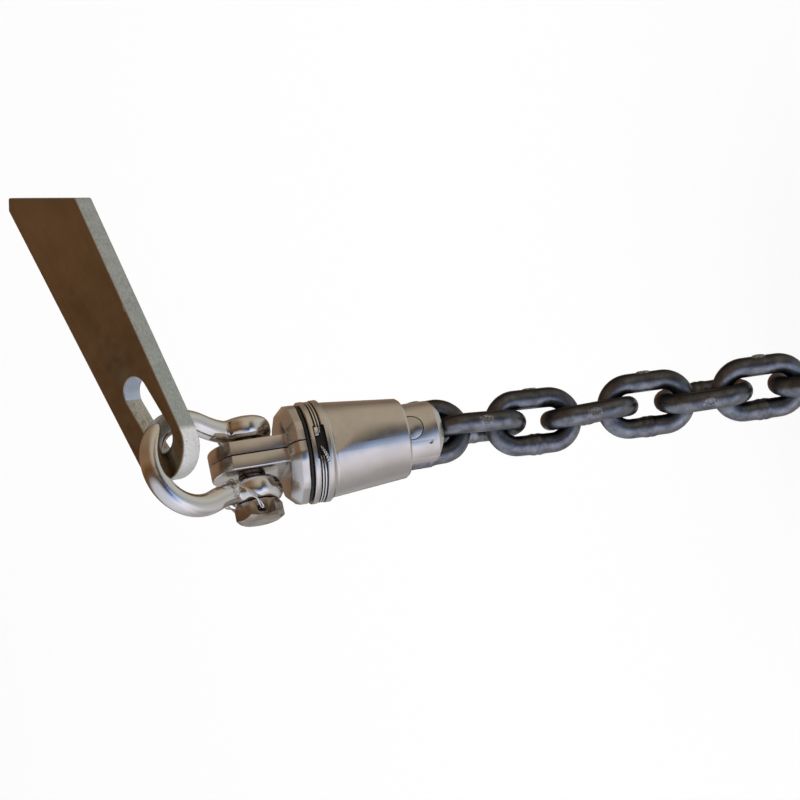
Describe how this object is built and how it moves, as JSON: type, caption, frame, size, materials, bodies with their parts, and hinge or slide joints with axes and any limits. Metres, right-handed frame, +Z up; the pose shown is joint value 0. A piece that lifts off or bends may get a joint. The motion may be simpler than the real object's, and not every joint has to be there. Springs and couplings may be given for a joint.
{
  "type": "boat anchor shank end with shackle, cone swivel and chain",
  "caption": "Slotted end of an anchor shank with a bow shackle, a split-eye cone swivel connector and a length of short-link chain.",
  "frame": {"origin": "middle of the shank's sawn butt, where it joins the rest of the anchor", "axes": "+Z up, so that the chain hangs along -Z; +X along the shackle pin, away from its head"},
  "size_m": [0.2035, 0.0695, 0.4431],
  "materials": {
    "galvanised": "weathered galvanised steel plate",
    "polished_steel": "polished stainless steel",
    "satin_steel": "satin stainless steel",
    "wire": "bright stainless wire",
    "bronze": "plain bearing bronze",
    "seal": "black rubber",
    "dark_chain": "darkened steel chain"
  },
  "bodies": {
    "shank": {"anchor_shank": "galvanised"},
    "shackle": {"shackle_bow": "polished_steel", "shackle_pin": "polished_steel", "shackle_seizing_wire": "wire"},
    "swivel": {"eye_half_upper": "satin_steel", "eye_half_lower": "satin_steel", "eye_dowel_1": "satin_steel", "eye_dowel_2": "satin_steel", "bearing_shell_upper": "bronze", "bearing_shell_lower": "bronze", "flange_seal_ring": "seal", "cone_sleeve": "satin_steel", "sleeve_lock_key": "wire", "sleeve_lock_wire": "wire", "jaw_bush": "bronze"},
    "jaw": {"chain_jaw": "satin_steel", "chain_pin": "satin_steel"},
    "link_1": {"chain_link_1": "dark_chain"},
    "link_2": {"chain_link_2": "dark_chain"},
    "link_3": {"chain_link_3": "dark_chain"},
    "link_4": {"chain_link_4": "dark_chain"},
    "link_5": {"chain_link_5": "dark_chain"},
    "link_6": {"chain_link_6": "dark_chain"},
    "link_7": {"chain_link_7": "dark_chain"},
    "link_8": {"chain_link_8": "dark_chain"}
  },
  "joints": [
    {"name": "shackle_swing", "type": "hinge", "parent": "shank", "child": "shackle", "pos_m": [-0.15938, -0.00666, -0.04542], "axis": [0, 0.9015, 0.4329], "range_deg": [-20, 20]},
    {"name": "swivel_on_pin", "type": "hinge", "parent": "shackle", "child": "swivel", "pos_m": [-0.15938, 0.00929, -0.07864], "axis": [1, 0, 0], "range_deg": [-40, 40]},
    {"name": "jaw_spin", "type": "hinge", "parent": "swivel", "child": "jaw", "pos_m": [-0.15938, 0.00929, -0.13864], "axis": [0, 0, 1], "continuous": true},
    {"name": "link_1_swing", "type": "hinge", "parent": "jaw", "child": "link_1", "pos_m": [-0.15938, 0.00929, -0.16414], "axis": [0, 1, 0], "range_deg": [-10, 10]},
    {"name": "link_2_swing", "type": "hinge", "parent": "link_1", "child": "link_2", "pos_m": [-0.1587, 0.00929, -0.19543], "axis": [0.9998, 0, 0.0175], "range_deg": [-16, 16]},
    {"name": "link_3_swing", "type": "hinge", "parent": "link_2", "child": "link_3", "pos_m": [-0.16083, 0.01131, -0.22743], "axis": [-0.0724, -0.9962, -0.0485], "range_deg": [-16, 16]},
    {"name": "link_4_swing", "type": "hinge", "parent": "link_3", "child": "link_4", "pos_m": [-0.16251, 0.0103, -0.25949], "axis": [0.9692, -0.2419, -0.0466], "range_deg": [-16, 16]},
    {"name": "link_5_swing", "type": "hinge", "parent": "link_4", "child": "link_5", "pos_m": [-0.16284, 0.00439, -0.29112], "axis": [-0.2392, -0.9583, 0.156], "range_deg": [-16, 16]},
    {"name": "link_6_swing", "type": "hinge", "parent": "link_5", "child": "link_6", "pos_m": [-0.16537, -0.0013, -0.32262], "axis": [0.9092, -0.4162, 0.01], "range_deg": [-16, 16]},
    {"name": "link_7_swing", "type": "hinge", "parent": "link_6", "child": "link_7", "pos_m": [-0.16755, -0.00885, -0.35375], "axis": [-0.4545, -0.8603, 0.2309], "range_deg": [-16, 16]},
    {"name": "link_8_swing", "type": "hinge", "parent": "link_7", "child": "link_8", "pos_m": [-0.16975, -0.01475, -0.38523], "axis": [0.853, -0.5202, 0.0417], "range_deg": [-16, 16]}
  ]
}
